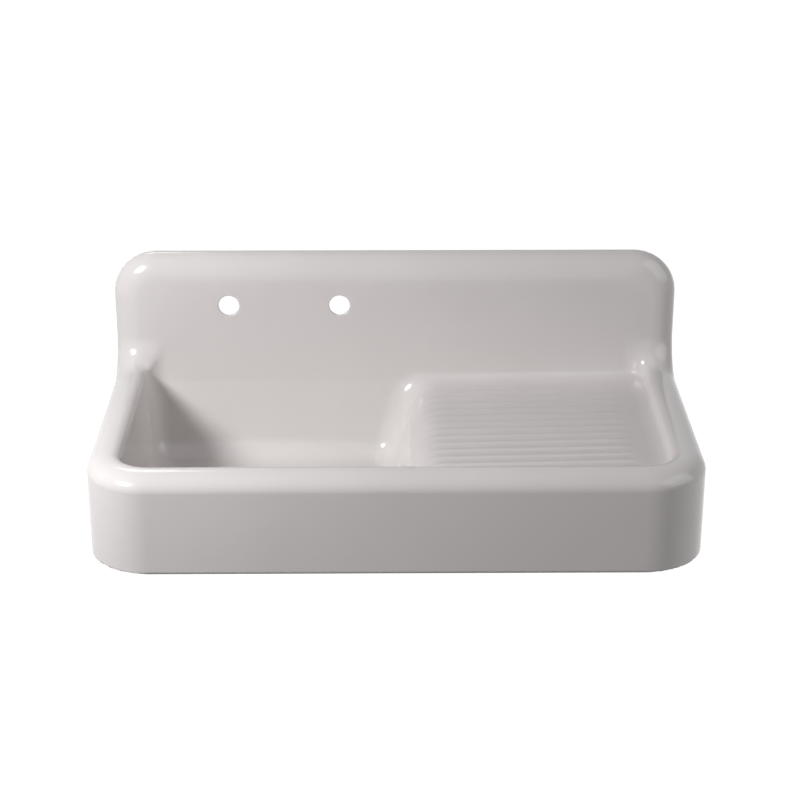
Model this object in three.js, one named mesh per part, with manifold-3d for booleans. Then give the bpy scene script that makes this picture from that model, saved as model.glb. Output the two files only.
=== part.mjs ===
// A wall-hung kitchen sink with drainboard. One enamelled iron casting holds the bowl, the ribbed
// board, the rolled rim, the apron and the splashback. Two hooks screwed to the wall carry it, and
// a basket strainer with a tailpiece drains it.
// Millimetres, +Z up, +X to the right, +Y into the wall. Heights are counted from the lower edge
// of the apron; the finished group is then moved so that its origin lies on the wall plane, in the
// middle of the casting's wall rib.
import * as THREE from "three";
import { mergeVertices } from "three/addons/utils/BufferGeometryUtils.js";
import Module from "manifold-3d";

const wasm = await Module();
wasm.setup();

// ---- Driving dimensions: the casting ----
const castingWidth = 1035; // over the sides of the apron
const castingDepth = 545; // wall to apron face
const apronHeight = 175; // lower edge to the crown of the rim
const overallHeight = 383; // lower edge to the top of the splashback
const ironWall = 6.5; // thickness of the iron with its enamel
const frontCornerRadius = 107; // front corners of the apron, in plan
const splashCornerRadius = 80; // top corners of the splashback
const rimRollWidth = 39; // the rim's outer roll is a quarter of an ellipse
const rimRollHeight = 29;
const rimWidth = 57; // outer face to the inner wall
const rimLipHeight = 13; // height of the rim's inner roll
const splashStandoff = 38; // wall plane to the face of the splashback
const splashRollWidth = 48; // the splashback's edge roll, seen from the front
const splashRollDepth = 35; // and measured towards the wall
const sweepRadius = 50; // the side rims sweep up into the splashback on this radius

// ---- Driving dimensions: bowl and drainboard ----
const bowlWidth = 486; // left wall to right wall, at the top of the draft
const bowlDepth = 184; // crown of the rim to the floor beside the walls
const bowlDraft = 8; // left, front and back walls lean in by this much on their way down
const bowlRightLean = 14; // degrees by which the right wall leans out towards the board
const bowlFloorRadius = 45; // wall to floor
const bowlLipRadius = 45; // the right wall rolls over into the board on this radius
const basinCornerRadius = 52; // front corners of the opening, in plan
const basinBackRadius = 40; // and its corners at the splashback
const floorFall = 6; // fall of the bowl floor towards the drain
const cutterStep = 0.5; // the bowl's walls stand this far inside the walls of the board
const boardDropRight = 28; // crown of the rim to the board at its right end
const boardDropLeft = 36; // and at the lip of the bowl
const boardFilletWidth = 22; // board to the side and front walls
const boardCoveWidth = 25; // board to the splashback
const boardFilletHeight = 14;
const ribCount = 13;
const ribPitch = 29;
const ribWidth = 19;
const ribHeight = 2.6;
const ribRoot = 3; // how deep a rib is rooted in the board
const ribTaper = 14; // length of a rib's sloping end
const ribEndMargin = 55; // ribs stop this far short of the right wall
const ribShift = 6; // the ribs lie this far in front of the board's middle

// ---- Driving dimensions: holes, rib and hanger lugs of the casting ----
const tapSpacing = 203.2; // eight inches between the tap centres
const tapInset = 313.5; // left end of the sink to midway between them
const tapHoleDiameter = 38;
const tapHeight = 288;
const drainHoleDiameter = 92;
const drainSeatDiameter = 122;
const drainSeatDepth = 3;
const wallRibHeight = 60; // the rib behind the bowl that bears on the wall
const wallRibThickness = 7;
const wallRibTop = 164;
const lugWidth = 50;
const lugThickness = 9.5;
const lugArmHeight = 14; // depth of the arm that joins a lug to the splashback
const hangerInset = 117.5; // either end of the sink to the middle of a hanger
const hangerSeatHeight = 284; // floor of the hooks

// ---- Driving dimensions: hangers and their screws ----
const hangerWidth = 60;
const hangerPlate = 5;
const hangerHeight = 92;
const hangerHookGap = 12.5; // plate to the upstand of the hook
const hangerHookHeight = 16;
const hangerBottomDrop = 34; // floor of the hook to the lower end of the plate
const hangerScrewInset = 11; // ends of the plate to its screw holes
const screwDiameter = 5.5;
const screwLength = 45;
const screwHeadDiameter = 12;
const screwHeadHeight = 4;
const screwSlotWidth = 1.4;
const screwSlotDepth = 2;

// ---- Driving dimensions: strainer, basket and tailpiece ----
const fit = 0.3; // clearance between pieces that bear on each other
const puttyThickness = 1.5;
const flangeDiameter = 114;
const flangeThickness = 2;
const strainerDiameter = 86; // outside of the threaded body
const strainerWall = 2.5;
const strainerDepth = 58; // underside of the flange to the shoulder of the outlet
const strainerShoulder = 7.5; // rise of the cone from the outlet to the body
const strainerMouth = 5; // the flange dishes into the body over this width and depth
const outletDiameter = 48; // outside of the threaded outlet
const outletBore = 38;
const outletLength = 18;
const gasketThickness = 3;
const gasketDiameter = 112;
const frictionThickness = 1;
const locknutHeight = 12;
const locknutDiameter = 104;
const locknutEars = 8;
const locknutEarHeight = 3;
const tailDiameter = 38;
const tailWall = 1.5;
const tailLength = 58;
const tailFlangeDiameter = 45;
const tailFlangeThickness = 2;
const tailWasherThickness = 2.5;
const couplingWall = 5;
const couplingFlutes = 10;
const couplingFluteDepth = 1.5;
const couplingFloor = 3;
const basketDiameter = 74;
const basketSheet = 1.2;
const basketFloorDiameter = 58;
const basketBrim = 3.5; // depth of the brim that rests on the strainer
const basketHoleDiameter = 4.5;
const basketHoleRings = [[7, 14], [13, 23.5]]; // holes in the floor: how many, on what radius
const basketSlots = 16;
const basketSlotWidth = 3;
const basketSlotHeight = 20;
const basketSlotFoot = 14; // floor of the basket to the foot of its slots
const stopperDiameter = 54;
const stopperThickness = 5;
const stopperBevel = 3; // the stopper's edge leans in over this height
const postDiameter = 7;
const postFootDiameter = 12.5; // the collar by which the post stands on the basket's floor
const postFootHeight = 11.5;
const postNeckHeight = 15; // floor of the basket to where the post is plain
const knobDiameter = 24;
const knobHeight = 14;
const knobNeckDiameter = 13;
const knobNeckHeight = 5;
const knobDrop = 5.5; // the post ends this far below the basket's brim
const postNutDiameter = 14; // across its corners
const postNutHeight = 4;

// ---- Steps of the round stretches ----
const cornerSteps = 8;
const rollSteps = 5;
const sweepSteps = 8; // an even number, so that one step falls on the edge at wall and floor
const filletSteps = 5;
const turnSteps = 36;
const holeSteps = 10;
const domeSteps = 3;

// ---- Levels and places worked out from them ----
const sideWallX = castingWidth / 2 - rimWidth;
const basinFront = -(castingDepth - rimWidth);
const basinBack = -splashStandoff;
const basinMiddleY = (basinFront + basinBack) / 2;
const bowlRight = bowlWidth - sideWallX;
const boardLeft = bowlRight + bowlLipRadius;
const bowlFloorZ = apronHeight - bowlDepth;
const boardLeftZ = apronHeight - boardDropLeft;
const boardSlope = (boardDropLeft - boardDropRight) / (sideWallX - boardLeft);
const rightLean = THREE.MathUtils.degToRad(bowlRightLean);
const drainX = (bowlRight - sideWallX) / 2;
const tapMiddleX = tapInset - castingWidth / 2;
const hangerSpacing = castingWidth - 2 * hangerInset;
const drainSeatZ = bowlFloorZ - floorFall - drainSeatDepth;
const drainUnderZ = drainSeatZ - ironWall;
const sweepStart = castingDepth - splashStandoff - sweepRadius;
const sweepLength = (sweepRadius * Math.PI) / 2;
const sweepTopZ = apronHeight + sweepRadius;
const sheetLength = sweepStart + sweepLength + overallHeight - sweepTopZ;
const overcut = 20;
const quarterTurn = Math.PI / 2;

// ---- Materials ----
const finish = (color, roughness, metalness) =>
  new THREE.MeshStandardMaterial({ color, roughness, metalness });
const enamel = finish("#d9d4d3", 0.18, 0);
const galvanised = finish("#9b9d9e", 0.5, 0.9);
const zincScrew = finish("#b3b3b0", 0.4, 0.9);
const chrome = finish("#c9cccf", 0.12, 1);
const stainless = finish("#b9bbbd", 0.3, 1);
const brass = finish("#b08a4a", 0.35, 1);
const rubber = finish("#232323", 0.8, 0);
const fibre = finish("#7a4a35", 0.85, 0);
const putty = finish("#c8bfae", 0.9, 0);
const blackPlastic = finish("#1d1d1f", 0.4, 0);

// ---- Solids from geometry, and back ----
function solidOf(geometry) {
  const bare = geometry.clone();
  bare.deleteAttribute("normal");
  bare.deleteAttribute("uv");
  const merged = mergeVertices(bare, 1e-4);
  return new wasm.Manifold(
    new wasm.Mesh({
      numProp: 3,
      vertProperties: merged.getAttribute("position").array,
      triVerts: new Uint32Array(merged.index.array),
    }),
  );
}

function geometryOf(solid) {
  const mesh = solid.getMesh();
  const geometry = new THREE.BufferGeometry();
  const positions = new Float32Array(mesh.vertProperties);
  geometry.setAttribute("position", new THREE.BufferAttribute(positions, 3));
  geometry.setIndex(new THREE.BufferAttribute(new Uint32Array(mesh.triVerts), 1));
  geometry.computeVertexNormals();
  return geometry;
}

// Rings of equal length, each counter-clockwise from above and the next one higher, make one
// closed skin. Point i of an end ring is joined across to point n-1-i, which closes the end.
function loft(rings) {
  const n = rings[0].length;
  const last = (rings.length - 1) * n;
  const faces = [];
  for (let k = 0; k < last; k += n) {
    for (let i = 0; i < n; i++) {
      const next = (i + 1) % n;
      faces.push(k + i, k + next, k + n + next);
      faces.push(k + i, k + n + next, k + n + i);
    }
  }
  for (let i = 0; i < n / 2 - 1; i++) {
    const across = n - 1 - i;
    faces.push(i, across, across - 1, i, across - 1, i + 1);
    faces.push(last + i, last + i + 1, last + across - 1);
    faces.push(last + i, last + across - 1, last + across);
  }
  const geometry = new THREE.BufferGeometry();
  geometry.setFromPoints(rings.flat());
  geometry.setIndex(faces);
  return geometry;
}

// A profile of [radius, height] pairs turned about the Z axis. One that starts off the axis
// closes on itself.
function turned(profile, steps = turnSteps) {
  const closed = profile[0][0] > 0 ? [...profile, profile[0]] : profile;
  const points = closed.map(([r, z]) => new THREE.Vector2(r, z));
  return new THREE.LatheGeometry(points, steps).rotateX(quarterTurn);
}

function box(x0, x1, y0, y1, z0, z1) {
  const block = new THREE.BoxGeometry(x1 - x0, y1 - y0, z1 - z0);
  return block.translate((x0 + x1) / 2, (y0 + y1) / 2, (z0 + z1) / 2);
}

// A round bar along Y.
function crossBar(radius, x, y0, y1, z, steps = turnSteps) {
  const bar = new THREE.CylinderGeometry(radius, radius, y1 - y0, steps);
  return bar.translate(x, (y0 + y1) / 2, z);
}

// An outline in the YZ plane, drawn as [y, z] pairs, made into a bar across X.
function sideExtrusion(outline, width, middleX) {
  const shape = new THREE.Shape(outline.map(([y, z]) => new THREE.Vector2(y, z)));
  const bar = new THREE.ExtrudeGeometry(shape, { depth: width, bevelEnabled: false });
  bar.translate(0, 0, -width / 2);
  bar.applyMatrix4(new THREE.Matrix4().set(0, 0, 1, middleX, 1, 0, 0, 0, 0, 1, 0, 0, 0, 0, 0, 1));
  return bar;
}

// ---- The outer skin of the casting ----
// The rim plane and the splashback are one sheet that turns up along the sweep. A place on it is
// x, its distance v from the front edge along the sheet, and its drop below the sheet's face.
function onSheet(x, v, drop) {
  if (v <= sweepStart) return new THREE.Vector3(x, v - castingDepth, apronHeight - drop);
  if (v >= sweepStart + sweepLength) {
    const z = sweepTopZ + v - sweepStart - sweepLength;
    return new THREE.Vector3(x, drop - splashStandoff, z);
  }
  const angle = (v - sweepStart) / sweepRadius;
  const reach = sweepRadius + drop;
  const y = -splashStandoff - sweepRadius + reach * Math.sin(angle);
  return new THREE.Vector3(x, y, sweepTopZ - reach * Math.cos(angle));
}

// The place below or behind it where the skirt ends: on the floor plane under the rim, on the wall
// plane behind the splashback, and along both of them below the sweep.
function onBase(x, v, overrun) {
  const along = (v - sweepStart) / sweepLength;
  if (along <= 0) return new THREE.Vector3(x, v - castingDepth, -overrun);
  if (along >= 1) {
    const z = sweepTopZ + v - sweepStart - sweepLength;
    return new THREE.Vector3(x, overrun, z);
  }
  const sweepFoot = sweepStart - castingDepth;
  if (along <= 0.5) {
    return new THREE.Vector3(x, THREE.MathUtils.lerp(sweepFoot, overrun, 2 * along), -overrun);
  }
  const z = THREE.MathUtils.lerp(-overrun, sweepTopZ, 2 * along - 1);
  return new THREE.Vector3(x, overrun, z);
}

function cornerStations(radius, middleV, startAngle) {
  const x = castingWidth / 2 - radius;
  return Array.from({ length: cornerSteps + 1 }, (_, i) => {
    const angle = startAngle + (quarterTurn * i) / cornerSteps;
    return { x, v: middleV, radius, angle };
  });
}

// Half of the sheet's outline, from the middle of the front round to the middle of the top.
function edgeStations() {
  const sweep = Array.from({ length: sweepSteps + 1 }, (_, i) => {
    const v = sweepStart + (sweepLength * i) / sweepSteps;
    return { x: castingWidth / 2, v, radius: 0, angle: 0 };
  });
  return [
    ...cornerStations(frontCornerRadius, frontCornerRadius, -quarterTurn),
    ...sweep,
    ...cornerStations(splashCornerRadius, sheetLength - splashCornerRadius, 0),
  ];
}

const wholeRing = (half) => {
  const mirrored = half.map((p) => new THREE.Vector3(-p.x, p.y, p.z));
  return [...half, ...mirrored.reverse()];
};

// place(x, v) gives a point of the ring.
function edgeRing(insetAt, place) {
  const half = edgeStations().map((station) => {
    const reach = station.radius - insetAt(station);
    const x = station.x + reach * Math.cos(station.angle);
    return place(x, station.v + reach * Math.sin(station.angle), station);
  });
  return wholeRing(half);
}

// The roll changes from the rim's to the splashback's along the sweep.
function rollAt(station) {
  const along = THREE.MathUtils.clamp((station.v - sweepStart) / sweepLength, 0, 1);
  return {
    width: THREE.MathUtils.lerp(rimRollWidth, splashRollWidth, along),
    height: THREE.MathUtils.lerp(rimRollHeight, splashRollDepth, along),
  };
}

// The casting's outside, or, at a depth, the hollow behind its iron.
function castingSkin(depth, overrun) {
  const rings = [edgeRing(() => depth, (x, v) => onBase(x, v, overrun))];
  for (let i = 0; i <= rollSteps; i++) {
    const turn = (quarterTurn * i) / rollSteps;
    const inset = (station) => depth + (rollAt(station).width - depth) * (1 - Math.cos(turn));
    const drop = (station) => depth + (rollAt(station).height - depth) * (1 - Math.sin(turn));
    rings.push(edgeRing(inset, (x, v, station) => onSheet(x, v, drop(station))));
  }
  return solidOf(loft(rings));
}

// ---- Bowl and board ----
// A rounded rectangle in plan, counter-clockwise from its front right corner.
function planRing(left, right, front, back, radius, backRadius, heightAt) {
  const corners = [
    [right - radius, front + radius, radius, -quarterTurn],
    [right - backRadius, back - backRadius, backRadius, 0],
    [left + backRadius, back - backRadius, backRadius, quarterTurn],
    [left + radius, front + radius, radius, 2 * quarterTurn],
  ];
  return corners.flatMap(([x, y, turn, start]) =>
    Array.from({ length: cornerSteps + 1 }, (_, i) => {
      const angle = start + (quarterTurn * i) / cornerSteps;
      const px = x + turn * Math.cos(angle);
      return new THREE.Vector3(px, y + turn * Math.sin(angle), heightAt(px));
    }),
  );
}

// The rim's inner lip, along its front and sides and then up the sweep to the splashback. The
// share dropAt is given is 0 on the rim and 1 where the sweep ends.
function lipRing(side, dropAt) {
  const radius = basinCornerRadius + side;
  const x = sideWallX + side;
  const v = rimWidth - side;
  const corner = [];
  const sweep = [];
  for (let i = 0; i <= cornerSteps; i++) {
    const share = i / cornerSteps;
    const angle = quarterTurn * (share - 1);
    const cornerX = x - radius + radius * Math.cos(angle);
    corner.push(onSheet(cornerX, v + radius + radius * Math.sin(angle), dropAt(0)));
    sweep.push(onSheet(x, sweepStart + sweepLength * share, dropAt(share)));
  }
  return wholeRing([...corner, ...sweep]);
}

const boardHeightAt = (x) => boardLeftZ + boardSlope * (x - boardLeft);

// The room above the board and inside the rim. With a skin thickness it is the same room's
// outside, as seen from below.
function boardRoom(skin) {
  const rings = [];
  const ring = (side, back, heightAt) =>
    planRing(-sideWallX - side, sideWallX + side, basinFront - side, back,
      basinCornerRadius + side, basinBackRadius + side, heightAt);
  for (let i = 0; i <= filletSteps; i++) {
    const turn = (quarterTurn * i) / filletSteps;
    const side = (boardFilletWidth + skin) * Math.sin(turn) - boardFilletWidth;
    const cove = (boardCoveWidth + skin) * Math.sin(turn) - boardCoveWidth;
    const rise = boardFilletHeight - (boardFilletHeight + skin) * Math.cos(turn);
    rings.push(ring(side, basinBack + cove, (x) => boardHeightAt(x) + rise));
  }
  const crown = rimWidth - rimRollWidth;
  for (let i = 0; i <= filletSteps; i++) {
    const turn = (quarterTurn * i) / filletSteps;
    const side = skin + (crown - skin) * (1 - Math.cos(turn));
    const sag = (rimLipHeight - skin) * (1 - Math.sin(turn));
    rings.push(lipRing(side, (share) => skin + sag * (1 - share)));
  }
  rings.push(lipRing(crown, () => -1));
  return solidOf(loft(rings));
}

// Corners tighten as the wall leans in, though never to a sharp edge.
const cornerAt = (radius, inset) => Math.max(radius - inset, radius / 5);

// The bowl's right wall at a height: a floor fillet, a leaning flat and the lip, all tangent.
function rightWallAt(z, skin) {
  const filletRadius = bowlFloorRadius + skin;
  const lipRadius = bowlLipRadius - skin;
  const filletZ = bowlFloorZ + bowlFloorRadius;
  const lipZ = boardLeftZ - bowlLipRadius;
  const flatFoot = filletZ - filletRadius * Math.sin(rightLean);
  const flatTop = lipZ + lipRadius * Math.sin(rightLean);
  const flatTopX = boardLeft - lipRadius * Math.cos(rightLean);
  if (z >= flatTop) {
    const rise = Math.min(z - lipZ, lipRadius);
    return boardLeft - Math.sqrt(lipRadius ** 2 - rise ** 2);
  }
  if (z >= flatFoot) return flatTopX - (flatTop - z) * Math.tan(rightLean);
  const filletX =
    flatTopX - (flatTop - flatFoot) * Math.tan(rightLean) - filletRadius * Math.cos(rightLean);
  const fall = Math.min(filletZ - z, filletRadius);
  return filletX + Math.sqrt(filletRadius ** 2 - fall ** 2);
}

// The room inside the bowl, from the seat of the strainer to the lip that rolls into the board.
function bowlRoom(skin) {
  const rings = [];
  const seatRing = (radius, z) =>
    planRing(drainX - radius, drainX + radius, basinMiddleY - radius, basinMiddleY + radius,
      radius - 1, radius - 1, () => z);
  const wallRing = (inset, z) =>
    planRing(inset - sideWallX, rightWallAt(z, skin), basinFront + inset, basinBack - inset,
      cornerAt(basinCornerRadius, inset), cornerAt(basinBackRadius, inset), () => z);
  const seatRadius = drainSeatDiameter / 2 + skin;
  rings.push(seatRing(seatRadius, drainSeatZ - skin));
  rings.push(seatRing(seatRadius + 1, drainSeatZ + drainSeatDepth - skin));
  for (let i = 0; i <= filletSteps; i++) {
    const turn = (quarterTurn * i) / filletSteps;
    const inset = bowlDraft + bowlFloorRadius - (bowlFloorRadius + skin) * Math.sin(turn);
    const z = bowlFloorZ + bowlFloorRadius - (bowlFloorRadius + skin) * Math.cos(turn);
    rings.push(wallRing(inset, z));
  }
  for (let i = 0; i <= filletSteps; i++) {
    const turn = rightLean + ((quarterTurn - rightLean) * i) / filletSteps;
    const z = boardLeftZ - bowlLipRadius + (bowlLipRadius - skin) * Math.sin(turn);
    rings.push(wallRing(cutterStep - skin, z));
  }
  rings.push(wallRing(cutterStep - skin, boardLeftZ + boardFilletHeight));
  return solidOf(loft(rings));
}

// One rib of the board: a low bar with a rounded back, which runs out at both ends.
function boardRib(y) {
  const start = boardLeft;
  const end = sideWallX - ribEndMargin;
  const section = (x, height) => {
    const base = boardHeightAt(x);
    const points = [new THREE.Vector3(x, y - ribWidth / 2, base - ribRoot)];
    for (let i = 0; i <= filletSteps; i++) {
      const across = i / filletSteps;
      const rise = (height * (1 - Math.cos(2 * Math.PI * across))) / 2;
      points.push(new THREE.Vector3(x, y + ribWidth * (across - 0.5), base - fit + rise));
    }
    points.push(new THREE.Vector3(x, y + ribWidth / 2, base - ribRoot));
    return points;
  };
  const rings = [
    section(start, 0),
    section(start + ribTaper, ribHeight),
    section(end - ribTaper, ribHeight),
    section(end, 0),
  ];
  return solidOf(loft(rings.reverse()));
}

// The rib that bears on the wall, and the shelf that ties it to the back of the bowl.
function wallRib() {
  const halfWidth = castingWidth / 2 - ironWall / 2;
  const foot = wallRibTop - wallRibHeight;
  const shelfFront = -(splashStandoff - ironWall / 2);
  const rib = box(-halfWidth, halfWidth, -wallRibThickness, 0, foot, wallRibTop);
  const shelf = box(-halfWidth, halfWidth, shelfFront, -wallRibThickness / 2,
    wallRibTop - wallRibThickness, wallRibTop);
  return solidOf(rib).add(solidOf(shelf));
}

const hookFrontY = -(hangerPlate + hangerHookGap);

// The lug behind the splashback that drops into a hanger's hook.
function hangerLug(middleX) {
  const lipBack = -(hangerPlate + (hangerHookGap - lugThickness) / 2);
  const lipFront = lipBack - lugThickness;
  const root = -(splashStandoff - ironWall / 2);
  const lipFoot = hangerSeatHeight + fit;
  const armFoot = hangerSeatHeight + hangerHookHeight + hangerPlate;
  const armTop = armFoot + lugArmHeight;
  const outline = [
    [root, armFoot],
    [lipFront, armFoot],
    [lipFront, lipFoot],
    [lipBack, lipFoot],
    [lipBack, armTop - lugThickness / 2],
    [lipBack - lugThickness / 2, armTop],
    [root, armTop],
  ];
  return solidOf(sideExtrusion(outline, lugWidth, middleX));
}

function castingSolid() {
  const hollow = castingSkin(ironWall, overcut)
    .subtract(bowlRoom(ironWall))
    .subtract(boardRoom(ironWall));
  let casting = castingSkin(0, 0)
    .add(bowlRoom(ironWall))
    .subtract(hollow)
    .subtract(boardRoom(0))
    .subtract(bowlRoom(0));
  for (let i = 0; i < ribCount; i++) {
    const y = basinMiddleY - ribShift + ribPitch * (i - (ribCount - 1) / 2);
    casting = casting.add(boardRib(y));
  }
  casting = casting.add(wallRib());
  for (const side of [-1, 1]) {
    casting = casting.add(hangerLug((side * hangerSpacing) / 2));
    const tapX = tapMiddleX + (side * tapSpacing) / 2;
    const front = -splashStandoff - overcut;
    casting = casting.subtract(
      solidOf(crossBar(tapHoleDiameter / 2, tapX, front, 0, tapHeight, turnSteps)),
    );
  }
  const drain = new THREE.CylinderGeometry(
    drainHoleDiameter / 2, drainHoleDiameter / 2, 2 * overcut, turnSteps);
  drain.rotateX(quarterTurn).translate(drainX, basinMiddleY, drainSeatZ);
  return casting.subtract(solidOf(drain));
}

// ---- Hangers and screws ----
const hangerTopZ = hangerSeatHeight - hangerBottomDrop + hangerHeight;
const hangerFootZ = hangerSeatHeight - hangerBottomDrop;
const screwHeights = {
  upper: hangerTopZ - hangerScrewInset,
  lower: hangerFootZ + hangerScrewInset,
};

function hangerSolid(middleX) {
  const hookOuter = hookFrontY - hangerPlate;
  const outline = [
    [0, hangerFootZ],
    [0, hangerTopZ],
    [-hangerPlate, hangerTopZ],
    [-hangerPlate, hangerSeatHeight],
    [hookFrontY, hangerSeatHeight],
    [hookFrontY, hangerSeatHeight + hangerHookHeight],
    [hookOuter, hangerSeatHeight + hangerHookHeight],
    [hookOuter, hangerSeatHeight - hangerPlate / 2],
    [hookOuter + hangerPlate / 2, hangerSeatHeight - hangerPlate],
    [-hangerPlate, hangerSeatHeight - hangerPlate],
    [-hangerPlate, hangerFootZ],
  ];
  let hanger = solidOf(sideExtrusion(outline.reverse(), hangerWidth, middleX));
  const bore = screwDiameter / 2 + fit;
  for (const z of Object.values(screwHeights)) {
    const hole = crossBar(bore, middleX, -hangerPlate - 1, 1, z, turnSteps / 2);
    hanger = hanger.subtract(solidOf(hole));
  }
  return hanger;
}

// A slotted round-head screw, its head against the hanger and its shank in the wall.
function screwSolid() {
  const radius = screwDiameter / 2;
  const head = screwHeadDiameter / 2;
  const profile = [[0, -screwLength], [radius, screwDiameter - screwLength], [radius, 0]];
  for (let i = 0; i < domeSteps; i++) {
    const turn = (quarterTurn * i) / domeSteps;
    profile.push([head * Math.cos(turn), screwHeadHeight * Math.sin(turn)]);
  }
  profile.push([0, screwHeadHeight]);
  const slotFoot = screwHeadHeight - screwSlotDepth;
  const slot = box(-head, head, -screwSlotWidth / 2, screwSlotWidth / 2, slotFoot,
    screwHeadHeight + 1);
  const screw = solidOf(turned(profile, turnSteps / 2)).subtract(solidOf(slot));
  return geometryOf(screw).rotateX(quarterTurn);
}

// ---- Strainer, from the putty down to the tailpiece ----
const flangeUnderZ = drainSeatZ + puttyThickness + 2 * fit;
const strainerRadius = strainerDiameter / 2;
const strainerBore = strainerRadius - strainerWall;
const shoulderZ = flangeUnderZ - strainerDepth;
const outletEndZ = shoulderZ - outletLength;
const mouthZ = flangeUnderZ + flangeThickness / 2;

function puttyRing() {
  const foot = drainSeatZ + fit;
  return turned([
    [drainHoleDiameter / 2, foot],
    [flangeDiameter / 2, foot],
    [flangeDiameter / 2, foot + puttyThickness],
    [drainHoleDiameter / 2, foot + puttyThickness],
  ]);
}

function strainerBody() {
  const outlet = outletDiameter / 2;
  const throat = outletBore / 2;
  const rim = flangeDiameter / 2;
  return turned([
    [throat, outletEndZ],
    [outlet, outletEndZ],
    [outlet, shoulderZ],
    [strainerRadius, shoulderZ + strainerShoulder],
    [strainerRadius, flangeUnderZ],
    [rim, flangeUnderZ],
    [rim, flangeUnderZ + flangeThickness / 2],
    [rim - flangeThickness, flangeUnderZ + flangeThickness],
    [strainerBore + strainerMouth, mouthZ],
    [strainerBore, mouthZ - strainerMouth],
    [strainerBore, shoulderZ + strainerShoulder + strainerWall],
    [throat, shoulderZ + strainerWall],
  ]);
}

const gasketTopZ = drainUnderZ - fit;
const frictionTopZ = gasketTopZ - gasketThickness - fit;
const locknutTopZ = frictionTopZ - frictionThickness - fit;

function washer(inner, outer, top, thickness) {
  return turned([
    [inner, top - thickness],
    [outer, top - thickness],
    [outer, top],
    [inner, top],
  ]);
}

// A flat ring about the Z axis, its outline given by the radius at each of its equal steps.
function flatRing(outlineRadii, inner, foot, height, boreSteps = turnSteps) {
  const outline = outlineRadii.map((radius, i) => {
    const angle = (2 * Math.PI * i) / outlineRadii.length;
    return new THREE.Vector2(radius * Math.cos(angle), radius * Math.sin(angle));
  });
  const shape = new THREE.Shape(outline);
  const bore = new THREE.Path();
  bore.absarc(0, 0, inner, 0, 2 * Math.PI, true);
  shape.holes.push(bore);
  const ring = new THREE.ExtrudeGeometry(shape, {
    depth: height,
    bevelEnabled: false,
    curveSegments: boreSteps,
  });
  return ring.translate(0, 0, foot);
}

// Six steps to a lobe: three on its back, three in the hollow after it.
function lobedRing(outer, inner, lobes, lobeHeight, foot, height) {
  const radii = Array.from({ length: lobes * 6 }, (_, i) => outer - (i % 6 < 3 ? 0 : lobeHeight));
  return flatRing(radii, inner, foot, height);
}

const washerTopZ = outletEndZ - fit;
const tailFlangeTopZ = washerTopZ - tailWasherThickness - fit;
const couplingFloorTopZ = tailFlangeTopZ - tailFlangeThickness - fit;
const couplingTopZ = shoulderZ - fit;

function tailpiece() {
  const outer = tailDiameter / 2;
  const flange = tailFlangeDiameter / 2;
  const inner = outer - tailWall;
  const flangeFoot = tailFlangeTopZ - tailFlangeThickness;
  return turned([
    [inner, tailFlangeTopZ - tailLength],
    [outer, tailFlangeTopZ - tailLength],
    [outer, flangeFoot],
    [flange, flangeFoot],
    [flange, tailFlangeTopZ],
    [inner, tailFlangeTopZ],
  ]);
}

function couplingNut() {
  const bore = outletDiameter / 2 + fit;
  const foot = couplingFloorTopZ - couplingFloor;
  const outer = bore + couplingWall;
  const wall = lobedRing(outer, bore, couplingFlutes, couplingFluteDepth, foot,
    couplingTopZ - foot);
  const floor = washer(tailDiameter / 2 + fit, bore + 1, couplingFloorTopZ, couplingFloor);
  return geometryOf(solidOf(wall).add(solidOf(floor)));
}

// ---- The basket that lifts out ----
const brimZ = mouthZ + fit;
const basketRadius = basketDiameter / 2;
const postRadius = postDiameter / 2;
const stopperFootRadius = stopperDiameter / 2 - stopperThickness;
// The stopper sits on the cone inside the strainer, and the basket stands on the stopper.
const coneRise = strainerShoulder / (strainerBore - outletBore / 2);
const stopperFootZ =
  shoulderZ + strainerWall + coneRise * (stopperFootRadius - outletBore / 2) + fit;
const stopperTopZ = stopperFootZ + stopperThickness;
const basketFloorZ = stopperTopZ + fit;
const postNutTopZ = stopperFootZ - fit;

function basketCup() {
  const floor = basketFloorDiameter / 2;
  const brim = strainerBore + strainerMouth;
  const bore = postRadius + fit;
  let basket = solidOf(turned([
    [bore, basketFloorZ],
    [floor - basketSheet, basketFloorZ],
    [floor, basketFloorZ + basketSheet],
    [basketRadius, brimZ - basketBrim],
    [brim, brimZ],
    [brim, brimZ + basketSheet],
    [basketRadius - basketSheet, brimZ - basketBrim + 2 * basketSheet],
    [basketRadius - 2 * basketSheet, brimZ - basketBrim],
    [floor - basketSheet, basketFloorZ + 2 * basketSheet],
    [floor - 2 * basketSheet, basketFloorZ + basketSheet],
    [bore, basketFloorZ + basketSheet],
  ]));
  const holeRadius = basketHoleDiameter / 2;
  for (const [count, reach] of basketHoleRings) {
    for (let i = 0; i < count; i++) {
      const angle = (2 * Math.PI * i) / count;
      const cut = new THREE.CylinderGeometry(holeRadius, holeRadius, basketSheet * 4, holeSteps);
      cut.rotateX(quarterTurn).translate(reach, 0, basketFloorZ).rotateZ(angle);
      basket = basket.subtract(solidOf(cut));
    }
  }
  const slotFoot = basketFloorZ + basketSlotFoot;
  for (let i = 0; i < basketSlots; i++) {
    const cut = box(floor - 2 * basketSheet, basketRadius + 2, -basketSlotWidth / 2,
      basketSlotWidth / 2, slotFoot, slotFoot + basketSlotHeight);
    basket = basket.subtract(solidOf(cut.rotateZ((2 * Math.PI * i) / basketSlots)));
  }
  return geometryOf(basket);
}

function basketStopper() {
  const bore = postRadius + fit;
  const edge = stopperDiameter / 2;
  return turned([
    [bore, stopperFootZ],
    [stopperFootRadius, stopperFootZ],
    [edge, stopperFootZ + stopperBevel],
    [edge - 1, stopperTopZ],
    [bore, stopperTopZ],
  ]);
}

const postTopZ = brimZ - knobDrop;

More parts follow.
